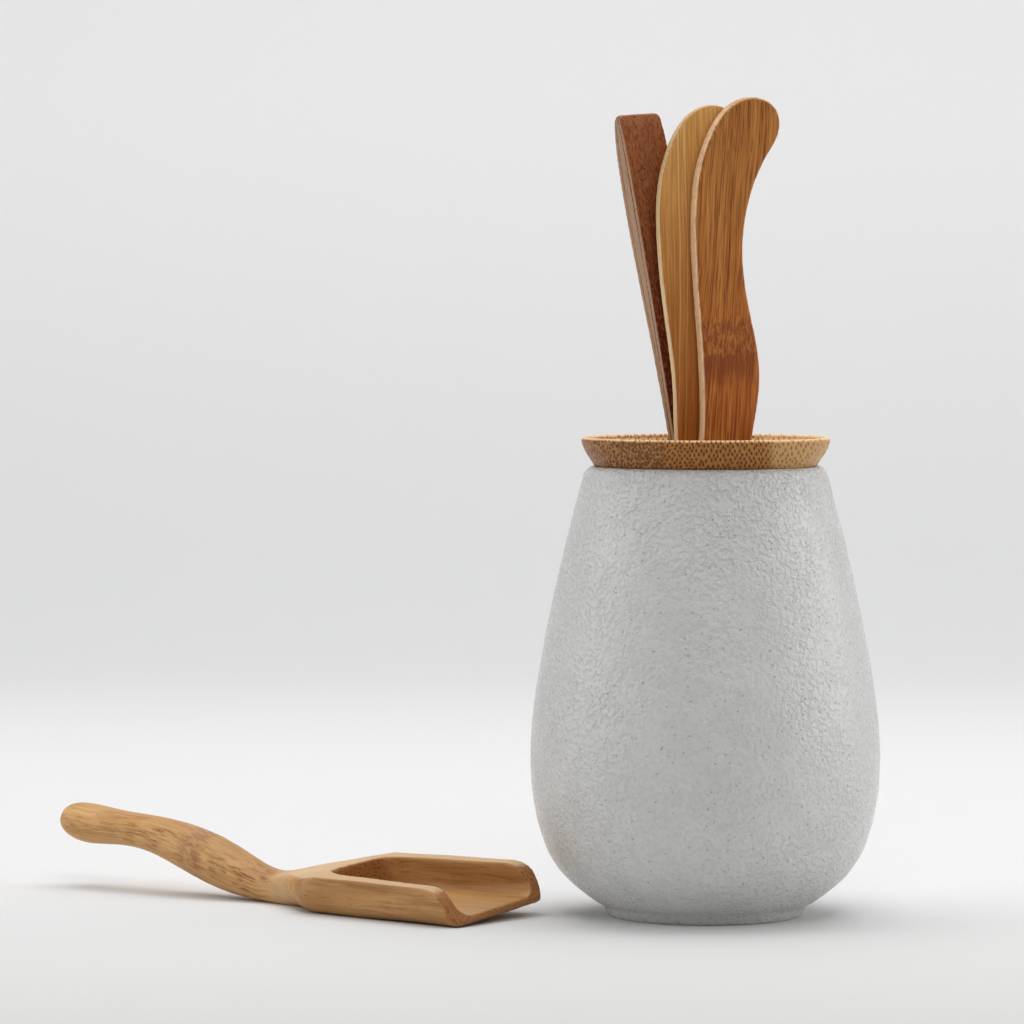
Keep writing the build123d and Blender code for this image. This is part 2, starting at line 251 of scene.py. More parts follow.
def cubic_spline(points, start, end, samples):
    """Points along the smooth curve through the given points, with end directions; chord-length cubic."""
    p = np.array(points, float)
    h = np.linalg.norm(np.diff(p, axis=0), axis=1)
    n = len(p)
    system = np.eye(n)
    right = np.empty_like(p)
    right[0] = np.array(start) / np.linalg.norm(start)
    right[-1] = np.array(end) / np.linalg.norm(end)
    for i in range(1, n - 1):
        system[i, i - 1: i + 2] = (h[i], 2 * (h[i - 1] + h[i]), h[i - 1])
        left_slope = (p[i] - p[i - 1]) / h[i - 1]
        right_slope = (p[i + 1] - p[i]) / h[i]
        right[i] = 3 * (h[i] * left_slope + h[i - 1] * right_slope)
    slopes = np.linalg.solve(system, right)
    knots = np.concatenate(([0.0], np.cumsum(h)))
    place = np.linspace(0.0, knots[-1], samples)
    cell = np.clip(np.searchsorted(knots, place, "right") - 1, 0, n - 2)
    t = ((place - knots[cell]) / h[cell])[:, None]
    step = h[cell][:, None]
    near, far = p[cell], p[cell + 1]
    near_slope, far_slope = slopes[cell] * step, slopes[cell + 1] * step
    from_places = (2 * t**3 - 3 * t**2 + 1) * near + (3 * t**2 - 2 * t**3) * far
    from_slopes = (t**3 - 2 * t**2 + t) * near_slope + (t**3 - t**2) * far_slope
    return from_places + from_slopes


def straight(a, b, samples):
    """Evenly spaced points from a to b."""
    return np.linspace(a, b, samples)


def lathe(name, profile, segments):
    """A closed solid of revolution from a profile of (radius, height) in millimetres."""
    angle = np.arange(segments) * 2 * math.pi / segments
    radius, height = profile[:, 0][:, None], profile[:, 1][:, None]
    rings = np.stack((radius * np.cos(angle), radius * np.sin(angle), height + 0 * angle), axis=2)
    on_axis = 1e-6
    shape = bmesh.new()
    table = []
    for ring, (r, z) in zip(rings, profile):
        if r < on_axis:
            table.append([shape.verts.new((0.0, 0.0, z * MM))] * segments)
        else:
            table.append([shape.verts.new(point * MM) for point in ring])
    pairs = list(zip(table, table[1:]))
    if profile[0, 0] > on_axis:
        pairs.append((table[-1], table[0]))
    for low, high in pairs:
        for i in range(segments):
            j = (i + 1) % segments
            corners = list(dict.fromkeys((low[i], low[j], high[j], high[i])))
            if len(corners) > 2:
                shape.faces.new(corners)
    bmesh.ops.recalc_face_normals(shape, faces=shape.faces)
    mesh = bpy.data.meshes.new(name)
    shape.to_mesh(mesh)
    shape.free()
    return new_object(name, mesh)


def roughen(obj, layers, local=None):
    """Push vertices along their normals by layers of noise: (amplitude, wavelengths along x, y and z, seed).

    All are in millimetres, in the frame that local gives the vertices in, or in the scene's own frame."""
    places, normals = mesh_arrays(obj.data)
    if local is None:
        local = places / MM
    push = np.zeros(len(places))
    for amplitude, wavelengths, seed in layers:
        points = local / np.array(wavelengths) + seed
        push += amplitude * np.array([noise.noise(point) for point in points])
    set_places(obj.data, places + normals * (push * MM)[:, None])


def store(obj, name, kind, field, values):
    """Write one value per vertex into a named attribute."""
    attribute = obj.data.attributes.new(name, kind, "POINT")
    attribute.data.foreach_set(field, values.astype(np.float32).ravel())


def store_grain(obj, local_frame, centre_line=None):
    """Keep each vertex's place in the piece's own frame, in mm, and how its normal leans across and along.

    A centre_line of (along, height) points straightens the grain of a bent piece."""
    places, normals = mesh_arrays(obj.data)
    local = in_frame(places, local_frame)
    turned = normals @ np.array(local_frame.inverted())[:3, :3].T
    grain = local.copy()
    if centre_line:
        along, height = np.array(sorted(centre_line)).T
        grain[:, 2] -= np.interp(local[:, 1], along, height)
    store(obj, "grain", "FLOAT_VECTOR", "vector", grain)
    store(obj, "side", "FLOAT", "value", np.abs(turned[:, 0]))
    store(obj, "end", "FLOAT", "value", np.abs(turned[:, 1]))
    return local


# ---- material helpers ----
def scaled(colour, factor):
    """A colour made lighter or darker."""
    return tuple(factor * channel for channel in colour)


class Paint:
    """A material's node tree, with short helpers that wire one node at a time."""

    def __init__(self, name):
        self.material = bpy.data.materials.new(name)
        self.material.use_nodes = True
        self.tree = self.material.node_tree
        self.tree.nodes.clear()
        self.shader = self.add("ShaderNodeBsdfPrincipled")
        self.output = self.add("ShaderNodeOutputMaterial")
        self.tree.links.new(self.shader.outputs[0], self.output.inputs["Surface"])

    def add(self, kind, **settings):
        """A new node with its settings."""
        node = self.tree.nodes.new(kind)
        for key, value in settings.items():
            setattr(node, key, value)
        return node

    def plug(self, socket, value):
        """Feed a socket from another socket, a colour or a number."""
        if isinstance(value, bpy.types.NodeSocket):
            self.tree.links.new(value, socket)
        elif isinstance(value, tuple) and len(value) == 3 and socket.type == "RGBA":
            socket.default_value = (*value, 1.0)
        else:
            socket.default_value = value

    def math(self, operation, a, b=0.0):
        """One sum on two values."""
        node = self.add("ShaderNodeMath", operation=operation)
        self.plug(node.inputs[0], a)
        self.plug(node.inputs[1], b)
        return node.outputs[0]

    def plus(self, a, b):
        """a + b."""
        return self.math("ADD", a, b)

    def times(self, a, b):
        """a * b."""
        return self.math("MULTIPLY", a, b)

    def away(self, value, centre):
        """How far a value is from a centre, either way."""
        return self.math("ABSOLUTE", self.math("SUBTRACT", value, centre))

    def add_masked(self, base, other, mask):
        """base where the mask is 0, other where it is 1."""
        kept = self.times(base, self.math("SUBTRACT", 1.0, mask))
        return self.plus(kept, self.times(other, mask))

    def split(self, vector):
        """The x, y and z of a vector."""
        node = self.add("ShaderNodeSeparateXYZ")
        self.plug(node.inputs[0], vector)
        return tuple(node.outputs)

    def join(self, x, y=0.0):
        """A vector with z = 0."""
        node = self.add("ShaderNodeCombineXYZ")
        self.plug(node.inputs[0], x)
        self.plug(node.inputs[1], y)
        return node.outputs[0]

    def attribute(self, name, output):
        """A value stored on the mesh."""
        return self.add("ShaderNodeAttribute", attribute_name=name).outputs[output]

    def object_mm(self):
        """The place on the piece in its own frame, in millimetres."""
        node = self.add("ShaderNodeTexCoord")
        return self.stretch(node.outputs["Object"], (1 / MM, 1 / MM, 1 / MM))

    def object_normal(self):
        """The surface's direction in the piece's own frame, as x, y and z."""
        return self.split(self.add("ShaderNodeTexCoord").outputs["Normal"])

    def stretch(self, vector, scale, offset=(0.0, 0.0, 0.0)):
        """A vector scaled on each axis, then moved."""
        node = self.add("ShaderNodeMapping")
        self.plug(node.inputs["Vector"], vector)
        node.inputs["Scale"].default_value = scale
        node.inputs["Location"].default_value = offset
        return node.outputs[0]

    def noise(self, vector, detail=2.0, roughness=0.5):
        """Smooth noise of one unit's size."""
        node = self.add("ShaderNodeTexNoise")
        self.plug(node.inputs["Vector"], vector)
        node.inputs["Scale"].default_value = 1.0
        node.inputs["Detail"].default_value = detail
        node.inputs["Roughness"].default_value = roughness
        return node.outputs[0]

    def cells(self, vector, randomness=1.0, dimensions="3D"):
        """Distance to the nearest of points scattered one unit apart."""
        node = self.add("ShaderNodeTexVoronoi", voronoi_dimensions=dimensions)
        self.plug(node.inputs["Vector"], vector)
        node.inputs["Scale"].default_value = 1.0
        node.inputs["Randomness"].default_value = randomness
        return node.outputs["Distance"]

    def level(self, value, low, high, out_low=0.0, out_high=1.0):
        """A smooth step from out_low at low to out_high at high; low may be the larger."""
        node = self.add("ShaderNodeMapRange", interpolation_type="SMOOTHSTEP")
        self.plug(node.inputs["Value"], value)
        node.inputs["From Min"].default_value = low
        node.inputs["From Max"].default_value = high
        node.inputs["To Min"].default_value = out_low
        node.inputs["To Max"].default_value = out_high
        return node.outputs[0]

    def mix(self, factor, a, b, blend="MIX"):
        """Colour a blended with colour b; the node's colour sockets are inputs 6 and 7 and output 2."""
        node = self.add("ShaderNodeMix", data_type="RGBA", blend_type=blend)
        self.plug(node.inputs[0], factor)
        self.plug(node.inputs[6], a)
        self.plug(node.inputs[7], b)
        return node.outputs[2]

    def bump(self, height, strength, distance):
        """A bumped normal; the distance is in millimetres."""
        node = self.add("ShaderNodeBump")
        node.inputs["Strength"].default_value = strength
        node.inputs["Distance"].default_value = distance * MM
        self.plug(node.inputs["Height"], height)
        return node.outputs[0]

    def finish(self, colour, roughness, normal, specular):
        """Wire up the shader and hand over the material."""
        self.plug(self.shader.inputs["Base Color"], colour)
        self.plug(self.shader.inputs["Roughness"], roughness)
        self.plug(self.shader.inputs["Normal"], normal)
        self.shader.inputs["Specular IOR Level"].default_value = specular
        return self.material


# ---- bamboo of the flat tools and the tongs ----
def bamboo(name, light, middle, dark, edge, end_colour, shade_factor, shade_span, seed=0.0, rough=0.5,
           contrast=1.0, bundle=(0.8, 9.0, 0.8), bundle_share=0.55, node_height=None, pale_lines=None,
           flecks=None):
    """Sawn bamboo: long fibres, dark fibre bundles, pored ends and paler sides.

    The sides are paler partly in their own colour and partly as painted light. The low colour factor is
    painted shade near the collar, fully applied at the lower end of its span (mm up the piece). bundle is the
    size of a fibre bundle in mm and bundle_share how dark it is. A node band, pale lines and flecks are drawn
    where given."""
    p = Paint(name)
    grain = p.attribute("grain", "Vector")
    moved = p.stretch(grain, (1.0, 1.0, 1.0), (seed, seed * 3.1, seed * 1.7))
    wander = p.noise(p.stretch(moved, (0.05, 0.030, 0.05)), 1.0)
    bent = p.add("ShaderNodeVectorMath", operation="ADD")
    p.plug(bent.inputs[0], moved)
    p.plug(bent.inputs[1], p.join(p.times(wander, 2.5)))
    along = bent.outputs[0]
    broad = p.noise(p.stretch(along, (0.38, 0.008, 0.38)), 2.0)
    fibres = p.noise(p.stretch(along, (2.9, 0.038, 2.9)), 2.0, 0.6)
    fine = p.noise(p.stretch(along, (4.4, 0.085, 4.4)), 1.5, 0.6)
    bright = tuple(min(1.0, channel) for channel in scaled(light, 1.35))
    colour = p.mix(p.level(broad, 0.36, 0.64), light, middle)
    colour = p.mix(p.level(fibres, 0.52, 0.60, 0.0, 0.75 * contrast), colour, dark)
    colour = p.mix(p.level(fine, 0.50, 0.66, 0.0, 0.6 * contrast), colour, dark)
    colour = p.mix(p.level(fine, 0.46, 0.28, 0.0, 0.5 * contrast), colour, bright)
    if pale_lines:
        lines = p.noise(p.stretch(along, (1.3, 0.003, 0.3), (7.0, 0.0, 0.0)), 1.0)
        colour = p.mix(p.level(lines, 0.66, 0.72, 0.0, 0.6), colour, pale_lines)
    bundles = p.cells(p.stretch(along, tuple(1 / size for size in bundle)))
    colour = p.mix(p.level(bundles, 0.12, 0.30, bundle_share, 0.0), colour, scaled(dark, 0.6))
    height = p.plus(p.times(fibres, -0.5), p.times(fine, -0.45))
    if node_height:
        colour, height = node_band(p, along, colour, height, dark, light, node_height)
    # painted shade: the lower part of the piece darkened and tinted near the collar
    colour = painted_collar_shade(p, grain, colour, shade_factor, shade_span)
    colour, height = pored_ends(p, along, colour, height, end_colour, dark)
    if flecks:
        specks = p.noise(p.stretch(moved, (2.6, 0.75, 2.6)), 2.0, 0.6)
        colour = p.mix(p.level(specks, 0.52, 0.62, 0.0, 0.7), colour, flecks)
        colour = p.mix(p.level(specks, 0.45, 0.36, 0.0, 0.55), colour, dark)
        height = p.plus(height, p.times(specks, 0.7))
    # paler sides: partly their own colour, partly painted light from the side
    colour = sawn_and_lit_sides(p, moved, fine, colour, edge, middle)
    gloss = p.level(fibres, 0.2, 0.8, rough + 0.06, rough - 0.08)
    return p.finish(colour, gloss, p.bump(height, 0.6, 0.14), specular=0.28)


def node_band(p, along, colour, height, dark, light, centre):
    """The band where the bamboo's node crosses the piece: light flecks above, a dark smear below."""
    across, up, _ = p.split(along)
    ragged = p.noise(p.stretch(along, (0.9, 0.20, 0.9)), 3.0, 0.6)
    lift = p.plus(p.plus(up, p.times(across, -0.22)), p.times(ragged, 8.0))
    above = p.math("SUBTRACT", lift, centre + 4.0)
    band = p.times(p.level(above, -5.5, -3.5), p.level(above, 4.0, 6.5, 1.0, 0.0))
    flecks = p.level(p.noise(p.stretch(along, (1.9, 0.42, 1.9), (3.0, 0.0, 0.0)), 2.0, 0.7), 0.45, 0.60)
    shade = p.mix(p.times(flecks, 0.75), scaled(dark, 1.15), light)
    colour = p.mix(p.times(band, 0.75), colour, shade)
    smear = p.times(p.level(above, -12.0, -6.0), p.level(above, -3.0, -4.5))
    smear = p.times(smear, p.level(across, 2.0, -5.0, 0.25, 0.7))
    colour = p.mix(smear, colour, dark)
    return colour, p.plus(height, p.times(band, p.times(flecks, 1.2)))


def painted_collar_shade(p, grain, colour, shade_factor, span):
    """Tint and darken the lower part of a piece: painted shade where the collar shades it."""
    _, up, _ = p.split(grain)
    return p.mix(p.level(up, *span, 1.0, 0.0), colour, shade_factor, "MULTIPLY")


def pored_ends(p, along, colour, height, end_colour, dark):
    """Where the surface cuts across the fibres: a rougher tone dotted with open pores."""
    pores = p.cells(p.stretch(along, (1.5, 0.12, 1.5)))
    tone = p.mix(p.level(pores, 0.15, 0.42, 0.85, 0.0), end_colour, dark)
    end = p.level(p.attribute("end", "Fac"), 0.18, 0.62)
    return p.mix(end, colour, tone), p.plus(height, p.times(end, p.level(pores, 0.1, 0.4)))


def sawn_and_lit_sides(p, moved, fine, colour, edge, middle):
    """The narrow sawn sides, paler than the faces and worn in places: partly the wood's own colour, partly
    painted light.
    """
    # partly painted light: both sides painted paler, standing in for light from the side as well as the
    # wood's own colour
    side = p.level(p.attribute("side", "Fac"), 0.55, 0.92)
    worn = p.noise(p.stretch(moved, (1.2, 0.5, 1.2)), 3.0, 0.7)
    strip = p.mix(p.level(fine, 0.35, 0.75), edge, scaled(edge, 0.72))
    strip = p.mix(p.level(worn, 0.52, 0.66, 0.0, 0.45), strip, middle)
    return p.mix(side, colour, strip)


# ---- bamboo of the collar ----
def rod_ends(p, place, spacing_x, spacing_z, randomness):
    """Distance to the nearest fibre bundle of bamboo whose fibres run along Y, in staggered rows."""
    across, _, up = p.split(place)
    x = p.times(across, 1 / spacing_x)
    drift = p.noise(p.stretch(place, (0.12, 0.05, 0.12)), 1.0)
    z = p.plus(p.times(up, 1 / spacing_z), p.times(drift, 1.5))
    lattice = p.join(p.plus(x, z), p.math("SUBTRACT", x, z))
    return p.cells(lattice, randomness, "2D")


def collar_bamboo():
    """Laminated bamboo with its fibres along Y: dots on the front and back, dashes on the top and the lip.

    Three strips are glued side by side: a crowded one at the left, a dense one, a sparse one at the right.
    The left strip's darker brown and the right strip's paler tan are partly their own tones, partly painted
    shade on the left and painted light on the right; faces turned up are painted paler, as painted light from
    above."""
    p = Paint("collar_bamboo")
    place = p.object_mm()
    x, _, _ = p.split(place)
    wavy = p.plus(x, p.times(p.noise(p.stretch(place, (0.3, 0.02, 0.3)), 1.0), 1.2))
    left = p.level(wavy, -10.4, -9.6, 1.0, 0.0)
    right = p.level(wavy, 13.4, 16.4)
    dense = rod_ends(p, place, 1.12, 1.95, 0.38)
    sparse = rod_ends(p, place, 1.25, 2.15, 0.5)
    crowded = rod_ends(p, place, 1.0, 1.8, 0.8)
    streak = p.noise(p.stretch(place, (0.9, 0.04, 0.9)), 3.0, 0.6)
    fine = p.noise(p.stretch(place, (4.0, 0.10, 4.0)), 2.0, 0.6)
    grain = p.noise(p.stretch(place, (1.6, 0.8, 1.6)), 2.0, 0.6)
    tan = p.mix(p.level(streak, 0.3, 0.7), (0.46, 0.205, 0.050), (0.35, 0.135, 0.027))
    # partly painted light: the right strip painted paler and the left strip darker brown, besides their own
    # tones
    tan = p.mix(right, tan, (0.55, 0.31, 0.115))
    brown = p.mix(p.level(grain, 0.42, 0.6), (0.22, 0.073, 0.015), (0.42, 0.21, 0.068))
    tan = p.mix(left, tan, brown)
    tan = p.mix(p.level(fine, 0.5, 0.75, 0.0, 0.4), tan, (0.22, 0.085, 0.022))
    _, facing_y, facing_up = p.object_normal()
    flank = p.level(p.math("ABSOLUTE", facing_y), 0.25, 0.55)
    dots = p.level(dense, 0.24, 0.38, 0.95, 0.0)
    dots = p.add_masked(dots, p.level(sparse, 0.20, 0.36, 0.6, 0.0), right)
    dots = p.add_masked(dots, p.level(crowded, 0.20, 0.44, 0.8, 0.0), left)
    dashes = p.level(p.cells(p.stretch(place, (0.95, 0.42, 0.95))), 0.16, 0.34, 0.7, 0.0)
    dots = p.add_masked(dashes, dots, flank)
    # painted light: faces turned up are painted paler, and their dots lighter, as if lit from above
    lit_top = p.level(facing_up, 0.25, 0.8)
    tan = p.mix(lit_top, tan, (0.90, 0.58, 0.29))
    colour = p.mix(dots, tan, p.mix(lit_top, (0.13, 0.042, 0.010), (0.34, 0.145, 0.05)))
    height = p.plus(p.times(dots, -1.0), p.times(fine, -0.4))
    rough = p.level(dots, 0.0, 0.8, 0.42, 0.6)
    return p.finish(colour, rough, p.bump(height, 0.7, 0.14), specular=0.25)


# ---- glaze of the jar ----
def sand_glaze():
    """Pale semi-gloss glaze over fine sand: a tight orange-peel relief with small pits between the grains."""
    p = Paint("sand_glaze")
    place = p.object_mm()
    grains = p.noise(p.stretch(place, (0.90, 0.90, 0.90)), 1.5, 0.5)
    second = p.noise(p.stretch(place, (1.7, 1.7, 1.7), (9.0, 4.0, 2.0)), 1.0, 0.5)
    grit = p.noise(p.stretch(place, (3.2, 3.2, 3.2)), 1.0)
    pit = p.level(p.cells(p.stretch(place, (0.50, 0.50, 0.50))), 0.07, 0.16, 1.0, 0.0)
    patches = p.level(p.noise(p.stretch(place, (0.05, 0.05, 0.05)), 2.0), 0.38, 0.62, 0.55, 1.0)
    _, _, up = p.split(place)
    coarser_above = p.level(up, 75.0, 103.0, 0.85, 1.6)
    mottle = p.noise(p.stretch(place, (0.12, 0.12, 0.12)), 3.0, 0.55)
    colour = p.mix(p.level(mottle, 0.3, 0.7), (0.635, 0.635, 0.63), (0.60, 0.60, 0.592))
    colour = p.mix(p.times(p.level(grains, 0.50, 0.40), 0.16), colour, (0.40, 0.40, 0.39))
    colour = p.mix(p.level(second, 0.56, 0.66, 0.0, 0.12), colour, (0.78, 0.78, 0.78))
    colour = p.mix(p.times(pit, 0.45), colour, (0.26, 0.25, 0.24))
    height = p.plus(p.times(p.level(grains, 0.34, 0.60), 0.9), p.times(second, 0.7))
    height = p.times(p.times(height, patches), coarser_above)
    height = p.plus(height, p.times(grit, 0.10))
    height = p.math("SUBTRACT", height, p.times(pit, 0.6))
    rough = p.level(second, 0.3, 0.7, 0.28, 0.18)
    return p.finish(colour, rough, p.bump(height, 1.0, 0.23), specular=0.5)


# ---- bamboo of the scoop ----
def scoop_bamboo():
    """Carved raw bamboo: pale outside, clusters of dark dashes on the handle, a pale node at the neck;
    painted light on the handle's rising tip and on the raised deck where it faces up.
    """
    p = Paint("scoop_bamboo")
    grain = p.attribute("grain", "Vector")
    moved = p.stretch(grain, (1.0, 1.0, 1.0), (41.0, 17.0, 5.0))
    _, along, depth = p.split(grain)
    broad = p.noise(p.stretch(moved, (0.16, 0.03, 0.16)), 2.0)
    fibres = p.noise(p.stretch(moved, (1.3, 0.035, 1.3)), 3.0, 0.6)
    fine = p.noise(p.stretch(moved, (5.0, 0.12, 5.0)), 2.0, 0.6)
    colour = p.mix(p.level(broad, 0.35, 0.65), (0.64, 0.375, 0.152), (0.50, 0.260, 0.088))
    colour = p.mix(p.level(fibres, 0.45, 0.7, 0.0, 0.55), colour, (0.31, 0.135, 0.038))
    colour = p.mix(p.level(fine, 0.5, 0.75, 0.0, 0.4), colour, (0.27, 0.115, 0.033))
    colour, dash = handle_dashes(p, moved, along, depth, colour)
    colour = knot_and_neck(p, moved, fibres, along, colour)
    height = p.plus(p.times(fibres, -0.5), p.times(dash, -0.6))
    colour, height = cut_faces(p, moved, along, colour, height)
    # painted light: the rising tip of the handle painted lighter, as if lit from above
    colour = p.mix(p.level(along, -72.0, -112.0), colour, (1.10, 1.12, 1.10), "MULTIPLY")
    colour = p.mix(p.level(along, -55.0, -47.0), colour, (0.80, 0.74, 0.66), "MULTIPLY")
    # painted light: the raised deck at the back of the block, where it faces up, painted paler
    _, _, facing_up = p.object_normal()
    raised = p.times(p.level(depth, 3.5, 5.0), p.level(along, -62.0, -55.0))
    lit_deck = p.times(p.level(facing_up, 0.80, 0.95), raised)
    colour = p.mix(p.times(lit_deck, 0.6), colour, (0.70, 0.48, 0.27))
    rough = p.level(fibres, 0.2, 0.8, 0.52, 0.40)
    return p.finish(colour, rough, p.bump(height, 0.6, 0.16), specular=0.3)


def handle_dashes(p, moved, along, depth, colour):
    """Clusters of dark dashes in a belt along the handle's flanks, fainter towards its tip."""
    lines = p.level(p.noise(p.stretch(moved, (3.2, 0.19, 3.2)), 1.0), 0.55, 0.585)
    groups = p.level(p.noise(p.stretch(moved, (0.28, 0.14, 0.28), (0.0, 3.0, 0.0)), 1.0), 0.42, 0.52)
    belt = p.level(p.away(depth, 1.3), 2.2, 3.8, 1.0, 0.0)
    on_handle = p.level(along, -60.0, -68.0)
    where = p.times(groups, p.times(belt, on_handle))
    dash = p.times(lines, where)
    strength = p.level(along, -118.0, -98.0, 0.40, 0.90)
    colour = p.mix(p.times(dash, strength), colour, (0.24, 0.090, 0.026))
    colour = p.mix(p.times(where, 0.2), colour, (0.36, 0.165, 0.05))
    return colour, dash


def knot_and_neck(p, moved, fibres, along, colour):
    """A mottled knot halfway up the handle, and the pale node where the neck meets the block."""
    swirl = p.noise(p.stretch(moved, (0.8, 0.35, 0.8)), 3.0, 0.7)
    from_knot = p.away(p.plus(along, p.times(swirl, 6.0)), SCOOP_KNOT)
    mottled = p.mix(p.level(swirl, 0.42, 0.58), (0.27, 0.11, 0.04), (0.47, 0.26, 0.11))
    colour = p.mix(p.level(from_knot, 1.5, 5.0, 0.65, 0.0), colour, mottled)
    from_neck = p.away(p.plus(along, p.times(fibres, 6.0)), SCOOP_NECK - 1.0)
    return p.mix(p.level(from_neck, 1.0, 5.5, 0.7, 0.0), colour, (0.55, 0.35, 0.18))


def cut_faces(p, moved, along, colour, height):
    """Where the block is cut across the fibres: darker, dotted with pores."""
    pores = p.cells(p.stretch(moved, (1.6, 0.7, 1.6)))
    cut = p.level(p.attribute("end", "Fac"), 0.30, 0.62)
    cut = p.times(cut, p.level(along, -50.0, -46.0))
    tone = p.mix(p.level(pores, 0.20, 0.42, 0.75, 0.0), (0.45, 0.20, 0.062), (0.17, 0.055, 0.014))
    return p.mix(cut, colour, tone), p.plus(height, p.times(cut, p.level(pores, 0.1, 0.4)))


# ---- paper of the backdrop ----
def backdrop_paper():
    """Pale seamless paper with painted light: brighter just behind the object and up the wall, darker towards
    the camera and far back; clear when looked at from behind.
    """
    p = Paint("backdrop_paper")
    _, depth, height = p.split(p.object_mm())
    # painted light: the paper's tone rises towards the object and up the wall, and falls off in front and far
    # behind
    near = p.level(depth, -350.0, 120.0, 0.0, 1.0)
    far = p.level(depth, 350.0, 1000.0, 0.0, 1.0)
    tone = p.mix(near, (0.585, 0.585, 0.575), (0.735, 0.735, 0.735))
    tone = p.mix(far, tone, (0.655, 0.66, 0.66))
    tone = p.mix(p.level(height, 10.0, 260.0), tone, (0.775, 0.765, 0.77))
    fibres = p.noise(p.stretch(p.object_mm(), (0.8, 0.8, 0.8)), 2.0)
    material = p.finish(tone, 0.85, p.bump(fibres, 0.1, 0.05), specular=0.1)
    choice = p.add("ShaderNodeMixShader")
    p.plug(choice.inputs[0], p.add("ShaderNodeNewGeometry").outputs["Backfacing"])
    p.plug(choice.inputs[1], p.shader.outputs[0])
    p.plug(choice.inputs[2], p.add("ShaderNodeBsdfTransparent").outputs[0])
    p.plug(p.output.inputs["Surface"], choice.outputs[0])
    return material


# ---- pieces ----
def jar_profile():
    """Closed half outline of the jar, from the middle of its inner floor round to the foot's recess."""
    shoulder_top = (RIM_RADIUS - SHOULDER_ROUNDING, JAR_HEIGHT)
    inner = cubic_spline(JAR_INSIDE, (0.25, -1.0), (-1.0, -0.15), 60)[::-1]
    outer = cubic_spline(JAR_OUTSIDE, (1.0, 0.52), SHOULDER_SLOPE, 190)
    shoulder = cubic_spline([JAR_OUTSIDE[-1], shoulder_top], SHOULDER_SLOPE, (-1.0, 0.0), 8)
    edge_across, edge_down = MOUTH_EDGE
    pieces = [
        straight((0.0, INNER_FLOOR), (20.0, INNER_FLOOR), 6),
        inner,
        straight((MOUTH_RADIUS, 100.0), (MOUTH_RADIUS, JAR_HEIGHT - edge_down), 6),
        straight((MOUTH_RADIUS + edge_across, JAR_HEIGHT), shoulder_top, 4),
        shoulder[::-1][1:],
        outer[::-1][1:],
    ]
    pieces += [straight(*run) for run in JAR_FOOT]
    return np.vstack(pieces)


def make_jar():
    """The jar, with real orange-peel relief on its outside."""
    jar = lathe("jar_body", jar_profile(), JAR_SEGMENTS)
    roughen(jar, [(0.07, (5.0, 5.0, 5.0), 3.0), (0.06, (2.2, 2.2, 2.2), 11.0)])
    places, _ = mesh_arrays(jar.data)
    places[:, 2] = np.clip(places[:, 2], 0.0, JAR_HEIGHT * MM)
    set_places(jar.data, places)
    jar.data.materials.append(sand_glaze())
    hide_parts("jar")
    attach(jar, "jar")


def collar_profile():
    """Closed half outline of the funnel collar and its spigot."""
    base = COLLAR_BASE
    foot = base - SPIGOT_LENGTH
    lip_out, _, lip_in = COLLAR_LIP
    flank_points = [(COLLAR_BASE_RADIUS, base), (28.45, base + 3.0), lip_out]
    flank = cubic_spline(flank_points, (0.5, 1.0), (0.2, 1.0), 40)
    lip = cubic_spline(COLLAR_LIP, (0.15, 1.0), (-0.3, -1.0), 16)
    dish = cubic_spline([lip_in, (DISH_LOW_RADIUS, base + 2.4)], (-0.6, -1.0), (-1.0, -0.35), 30)
    pieces = [
        straight((SPIGOT_RADIUS, base - 0.2), (COLLAR_BASE_RADIUS - 0.3, base), 4),
        flank,
        lip[1:],
        dish[1:],
        straight((HOLE_RADIUS + 0.2, base + 2.1), (HOLE_RADIUS, base + 1.6), 3),
        straight((HOLE_RADIUS, base), (HOLE_RADIUS, foot + 0.2), 8),
        straight((HOLE_RADIUS + 0.2, foot), (SPIGOT_RADIUS - 0.55, foot), 3),
        straight((SPIGOT_RADIUS, foot + 0.8), (SPIGOT_RADIUS, base - 1.0), 6),
    ]
    return np.vstack(pieces)


def make_collar():
    """The turned bamboo collar."""
    collar = lathe("collar_ring", collar_profile(), COLLAR_SEGMENTS)
    roughen(collar, [(0.05, (9.0, 30.0, 5.0), 2.0), (0.025, (0.9, 12.0, 0.9), 7.0)])
    collar.data.materials.append(collar_bamboo())
    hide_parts("funnel_collar")
    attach(collar, "collar")


def make_spoon():
    """The front tool, with its node band."""
    spoon = carved_copy("spoon_blank", ["tea_spoon"], voxel=0.32, smoothing=6)
    local = store_grain(spoon, SPOON_FRAME @ turn(SPOON_GRAIN_TURN, "Z"))
    roughen(spoon, [(0.10, (7.0, 22.0, 7.0), 1.0), (0.05, (0.8, 14.0, 2.0), 5.0)], local)
    material = bamboo(
        "spoon_bamboo",
        light=(0.50, 0.203, 0.043),
        middle=(0.395, 0.138, 0.021),
        dark=(0.185, 0.043, 0.006),
        edge=(0.96, 0.65, 0.39),
        end_colour=(0.60, 0.34, 0.13),
        # painted shade near the collar: the colour factor at the lower end of the span below
        shade_factor=(1.08, 0.88, 0.60),
        shade_span=(110.0, 180.0),
        node_height=133.0,
    )
    spoon.data.materials.append(material)
    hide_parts("tea_spoon")
    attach(spoon, "spoon")


